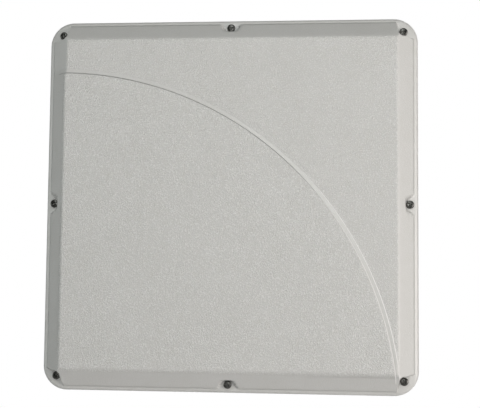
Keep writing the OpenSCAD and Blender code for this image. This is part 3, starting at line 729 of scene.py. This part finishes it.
def moulded(place):
    across, out, up = [place.node("ShaderNodeSeparateXYZ", None, {"Vector": place}, out=k)
                       for k in range(3)]
    flat = place.node("ShaderNodeCombineXYZ", None, {0: across, 1: 0.0, 2: up})
    radius = place.node("ShaderNodeVectorMath", {"operation": "DISTANCE"},
                        {0: flat, 1: (arc_x * mm, 0, arc_z * mm)}, out="Value") * (1 / mm)
    height = (0.0 - out) * (1 / mm) + flange_y
    low_side, high_side = arc_r + arc_run / 2, arc_r - arc_run / 2
    step_h = step_top - face_top
    # Less the mesh's plain ramp, the step's section is a low lip, a flat band and a narrow riser
    climb = place.math("MAXIMUM", low_side - radius, 0.0)
    climb = place.math("MINIMUM", climb, arc_run)
    riser_line = 1 - radius.ramp(high_side - 0.1, high_side + 1.1)
    turned_right = ((across * (1 / mm) - arc_x) * (1 / arc_r)).ramp(0.66, 0.84)
    lip = (1 - radius.ramp(low_side - 0.7, low_side + 0.3)) * (0.12 + turned_right * 0.6)
    section = lip + climb * 0.05 + riser_line * (step_h - 0.4)
    above_slopes, on_face = height.ramp(11.5, 13.0), height.ramp(13.0, 13.8)
    section = (section - climb * (step_h / arc_run)) * above_slopes
    band = (radius.ramp(high_side, high_side + 0.6)
            * (1 - radius.ramp(low_side - 0.3, low_side + 0.2)))
    pebble = grain(place, 0.95, 1.0, None, 0.5)
    spark = cells(place, 0.95, "SMOOTH_F1")
    ridge = (radius.ramp(high_side - 0.1, high_side + 0.4)
             * (1 - radius.ramp(high_side + 0.5, high_side + 1.1)))
    rim_line = (radius.ramp(low_side - 0.7, low_side - 0.1)
                * (1 - radius.ramp(low_side - 0.1, low_side + 0.5)))
    clouds = grain(place, 45, 4.0)
    stain = grain(place, 11, 4.0).ramp(0.45, 0.8)
    coarse = (0.2 + on_face * 0.8) * (1 - band * above_slopes * 0.85)
    moulding = (pebble - spark * 0.6) * coarse
    foot_shade = place.node("ShaderNodeAttribute", {"attribute_name": "foot_shade"}, out="Fac")
    clean = clouds.shade(tone(209, 209, 205), tone(215, 215, 212))
    worn = (stain * 0.3).shade(clean, tone(204, 204, 197))
    # Painted sparkle: the peaks of the moulded grain are painted lighter, as highlights glinting
    # off the grain.
    grain_sparkle = (pebble - spark * 0.5).ramp(0.28, 0.52) * coarse
    raised = height.ramp(6.0, 9.0)
    plain = (grain_sparkle * 0.75).shade(worn, tone(240, 240, 238))
    # Painted highlights: the step's lip and riser lines are painted near white where the arc turns
    # to the right.
    painted_step_highlight = ((ridge + rim_line) * turned_right * raised * 0.9).shade(plain, tone(250, 250, 248))
    shadow = tone(112, 114, 110)
    # Painted shade: the step's riser is painted dark where the arc does not turn to the right.
    painted_step_shade = (ridge * (1 - turned_right) * raised * 0.6).shade(painted_step_highlight, shadow)
    # Painted shade: the colour darkens along the foot of the raised face, where its slopes and the
    # bays' walls meet the flange.
    return {"Base Color": (foot_shade * 0.32).shade(painted_step_shade, shadow),
            "Roughness": 0.3 + clouds * 0.05 + pebble * 0.1 - on_face * 0.03,
            "Normal": (moulding * 0.8 + section).bump(1.0 * mm)}


radome_plastic = finish("Moulded radome plastic", moulded, Specular_IOR_Level=0.8)
piece("radome_moulding", skin, "panel", "radome_plastic", radome_plastic, "radome")
piece("radome_seal", eased("radome_gasket", 0.2), "panel", "black_rubber", rubber, "radome_gasket")


# ---- Brackets ----
# Two channels folded from 3 mm steel sheet and hot-dip galvanised. The pole's bracket nests
# inside the panel's bracket, and the tilt joint's bolts pass through both pairs of ears.

def galvanised(place):
    flakes = cells(place, 9.0, "F1", "Color")
    flake = flakes.node("ShaderNodeSeparateColor", None, {"Color": flakes}, out=0)
    ridges = grain(place, 3.5, 4.0)
    white = grain(place, 22, 5.0).ramp(0.54, 0.74)
    bare = (flake * 0.7 + ridges * 0.3).shade(tone(158, 162, 165), tone(186, 190, 192))
    return {"Base Color": (white * 0.5).shade(bare, tone(190, 192, 191)),
            "Roughness": 0.38 + flake * 0.1 + white * 0.14,
            "Normal": ridges.bump(0.008 * mm)}


zinc_coat = finish("Hot-dip galvanised steel", galvanised, Metallic=0.85)
piece("panel_channel", eased("antenna_bracket", 0.5, 3), "panel", "galvanised_sheet", zinc_coat,
      "antenna_bracket")
piece("pole_channel", eased("pole_bracket", 0.5, 3), "pole_mount", "galvanised_sheet", zinc_coat,
      "pole_bracket")


# ---- Tilt joint ----
# Two pairs of M8 hexagon bolts. The lower pair is the pivot, and the upper pair runs in the
# curved slots and locks the tilt. Each has flat washers, a spring washer and a nut.

def body_of(node):
    """The body that a CAD node belongs to."""
    bodies = frame["record"]["behaviour"]["bodies"]
    return next(body for body, nodes in bodies.items() if node in nodes)


def mirrored(shape):
    """The shape and its mirror image across the middle."""
    other = shape.copy()
    bmesh.ops.scale(other, vec=(-1, 1, 1), verts=other.verts)
    bmesh.ops.reverse_faces(other, faces=other.faces)
    return [shape, other]


pivot_low, pivot_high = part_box("pivot_bolts")
pivot_y = (pivot_low.y + pivot_high.y) / 2 / mm
m8_head, m8_nut, m8_bore, m8_washer, m8_spring = 8 * 0.66, 6.4, 4.08, 1.6, 2.0
m8_spare = 1.6
head_base = pivot_high.x / mm - m8_head
ear_inner = 43
spring_x = ear_inner - m8_washer - m8_spring
nut_x = spring_x - m8_nut
bolt_tip = nut_x - m8_spare
lock_z = 30.0


def m8_flat_washer():
    return washer(8.4, m8_bore, m8_washer)


def m8_split_washer(turn):
    return spring_washer(7.36, m8_bore, m8_spring, turn)


for node, name, z, turn in (("pivot_bolts", "pivot_hexagon_bolts", 0.0, 0.4),
                            ("tilt_lock_bolts", "lock_hexagon_bolts", lock_z, 1.1)):
    shank = turned([(0, 0), (3.98, 0), (3.98, 9.2), (3.4, 9.8), (0, 9.8)], 32)
    thread = threaded(4, 1.25, 9.5, head_base - bolt_tip)
    bolt = joined([place_at(hexagon(8, m8_head), head_base, pivot_y, z, "X", turn),
                   place_at(shank, head_base + sunk, pivot_y, z, "-X"),
                   place_at(thread, head_base, pivot_y, z, "-X")])
    piece(name, joined(mirrored(bolt)), body_of(node), "zinc_steel", zinc_plate, node)
for node, name, z, turn in (("pivot_nuts", "pivot_hexagon_nuts", 0.0, 0.2),
                            ("tilt_lock_nuts", "lock_hexagon_nuts", lock_z, 0.7)):
    nut = place_at(hexagon(8, m8_nut, m8_bore), nut_x, pivot_y, z, "X", turn)
    piece(name, joined(mirrored(nut)), body_of(node), "zinc_steel", zinc_plate, node)
flats, splits = [], []
for z in (0.0, lock_z):
    for x in (head_base, ear_inner):
        flats += mirrored(place_at(m8_flat_washer(), x - m8_washer, pivot_y, z, "X"))
    splits += mirrored(place_at(m8_split_washer(2.0 + z), spring_x, pivot_y, z, "X"))
piece("tilt_flat_washers", joined(flats), body_of("tilt_washers"), "zinc_steel", zinc_plate,
      "tilt_washers")
piece("tilt_split_washers", joined(splits), body_of("tilt_spring_washers"), "spring_steel",
      spring_finish, "tilt_spring_washers")


# ---- Pole clamps ----
# Cast aluminium saddles rest on the front of the pole, and M8 U-bolts of zinc-plated bar go
# round its back, through the saddles and the pole's bracket, to their washers and nuts.

def cast(place):
    skin_grain = grain(place, 0.9, 4.0)
    clouds = grain(place, 12, 4.0)
    mixed = skin_grain * 0.5 + clouds * 0.5
    return {"Base Color": mixed.shade(tone(150, 151, 152), tone(190, 191, 191)),
            "Roughness": 0.42 + clouds * 0.16, "Normal": skin_grain.bump(0.09 * mm)}


cast_aluminium = finish("Cast aluminium", cast, Metallic=0.9)
leg_x, clamp_z = 30, 42
bend_y, straight_l = -0.9, 20.6
bracket_front = -37
for side, level in (("upper", clamp_z), ("lower", -clamp_z)):
    piece(f"saddle_casting_{side}", eased(f"saddle_{side}", 0.9, 3), body_of(f"saddle_{side}"),
          "cast_aluminium", cast_aluminium, f"saddle_{side}")
    bar = bmesh.new()
    bmesh.ops.create_circle(bar, cap_ends=False, segments=24, radius=3.98 * mm)
    place_at(bar, leg_x, bend_y - straight_l, level)
    new = bmesh.ops.extrude_edge_only(bar, edges=bar.edges[:])["geom"]
    bmesh.ops.translate(bar, vec=(0, straight_l * mm, 0), verts=verts_in(new))
    bend = bmesh.ops.spin(bar, geom=edges_in(new), cent=(0, bend_y * mm, level * mm),
                          axis=(0, 0, 1), dvec=(0, 0, 0), angle=pi, steps=40, use_merge=False,
                          use_duplicate=False)["geom_last"]
    new = bmesh.ops.extrude_edge_only(bar, edges=edges_in(bend))["geom"]
    bmesh.ops.translate(bar, vec=(0, -straight_l * mm, 0), verts=verts_in(new))
    bmesh.ops.remove_doubles(bar, verts=bar.verts, dist=0.01 * mm)
    bmesh.ops.recalc_face_normals(bar, faces=bar.faces)
    legs = [place_at(threaded(4, 1.25, 0, 33.2), x, -20.8, level, "-Y") for x in (-leg_x, leg_x)]
    piece(f"bent_u_bolt_{side}", joined([bar] + legs), body_of(f"u_bolt_{side}"), "zinc_steel",
          zinc_plate, f"u_bolt_{side}")
flats, splits, nuts = [], [], []
for x in (-leg_x, leg_x):
    for z in (-clamp_z, clamp_z):
        y = bracket_front
        flats.append(place_at(m8_flat_washer(), x, y, z, "-Y"))
        y -= m8_washer
        splits.append(place_at(m8_split_washer(x + z), x, y, z, "-Y"))
        y -= m8_spring
        nuts.append(place_at(hexagon(8, m8_nut, m8_bore), x, y, z, "-Y", 0.02 * x + z))
piece("u_bolt_flat_washers", joined(flats), body_of("u_bolt_washers"), "zinc_steel", zinc_plate,
      "u_bolt_washers")
piece("u_bolt_split_washers", joined(splits), body_of("u_bolt_spring_washers"), "spring_steel",
      spring_finish, "u_bolt_spring_washers")
piece("u_bolt_hexagon_nuts", joined(nuts), body_of("u_bolt_nuts"), "zinc_steel", zinc_plate,
      "u_bolt_nuts")


# ---- Studio ----
# A plain pale floor, soft lights before, above, beside and behind the panel, two over the floor,
# and a white surround. The camera stands a metre off, to the right and just below the middle.

def stage_tone(place):
    return {"Base Color": grain(place, 900, 2.0).shade(tone(238, 238, 238), tone(242, 242, 242)),
            "Roughness": 0.8 + grain(place, 400, 2.0) * 0.1}


floor_z = -1.2
floor_shape = bmesh.new()
bmesh.ops.create_grid(floor_shape, x_segments=1, y_segments=1, size=5.0)
bmesh.ops.translate(floor_shape, vec=(0, 0, floor_z), verts=floor_shape.verts)
floor_mesh = bpy.data.meshes.new("studio_floor")
floor_shape.to_mesh(floor_mesh)
floor_shape.free()
floor_mesh.materials.append(finish("Pale studio floor", stage_tone))
floor = bpy.data.objects.new("studio_floor", floor_mesh)
bpy.context.scene.collection.objects.link(floor)

scene = bpy.context.scene
scene.view_settings.view_transform = "Standard"
world = bpy.data.worlds.new("White surround")
scene.world = world
world.use_nodes = True
world.node_tree.nodes.clear()
sky = Wire(world.node_tree)
seen = sky.node("ShaderNodeLightPath", out="Is Camera Ray")
room = sky.node("ShaderNodeBackground", None, {"Color": (1, 1, 1, 1), "Strength": 0.03})
white = sky.node("ShaderNodeBackground", None, {"Color": (1, 1, 1, 1), "Strength": 1.0})
sky.node("ShaderNodeOutputWorld", None,
         {"Surface": sky.node("ShaderNodeMixShader", None, {0: seen, 1: room, 2: white})})


def softbox(name, power, width, height, at, to, tint=(1, 1, 1)):
    """A rectangular soft light that looks from one point to another, in metres."""
    light = bpy.data.lights.new(name, "AREA")
    light.shape, light.size, light.size_y = "RECTANGLE", width, height
    light.energy, light.color = power, tint
    lamp = bpy.data.objects.new(name, light)
    lamp.location = at
    lamp.rotation_euler = (Vector(to) - Vector(at)).to_track_quat("-Z", "Y").to_euler()
    scene.collection.objects.link(lamp)
    return lamp


softbox("front_light", 2.3, 0.22, 0.22, (0.03, -1.2, 0.056), (0.06, -0.12, 0))
softbox("right_light", 16.8, 0.5, 1.0, (1.5, -1.0, -0.2), (0.1, -0.12, 0), (1, 0.945, 0.92))
softbox("top_light", 8.0, 1.0, 0.5, (0.0, -1.5, 1.1), (0, -0.12, 0), (0.97, 1, 0.985))
softbox("left_light", 3.8, 0.3, 0.9, (-1.6, -0.5, 0), (0, -0.12, 0), (0.95, 1, 0.985))
softbox("back_light", 45, 4.0, 3.0, (0.3, 2.6, 0.9), (0, -0.05, 0)).visible_camera = False
for name, power, y in (("rear_floor_light", 80, 3.4), ("front_floor_light", 14, -3.6)):
    floor_lamp = softbox(name, power, 3.0, 3.0, (0.3, y, 2.5), (0.3, y, floor_z))
    floor_lamp.data.spread, floor_lamp.visible_camera = radians(60), False

camera = bpy.data.cameras.new("camera")
camera.lens, camera.sensor_width, camera.sensor_fit = 75, 36, "HORIZONTAL"
eye = bpy.data.objects.new("camera", camera)
eye.location = (0.0992, -1.0926, -0.0732)
eye.rotation_euler = [radians(turn) for turn in (94.2515, -0.5649, 5.1117)]
scene.collection.objects.link(eye)
scene.camera = eye
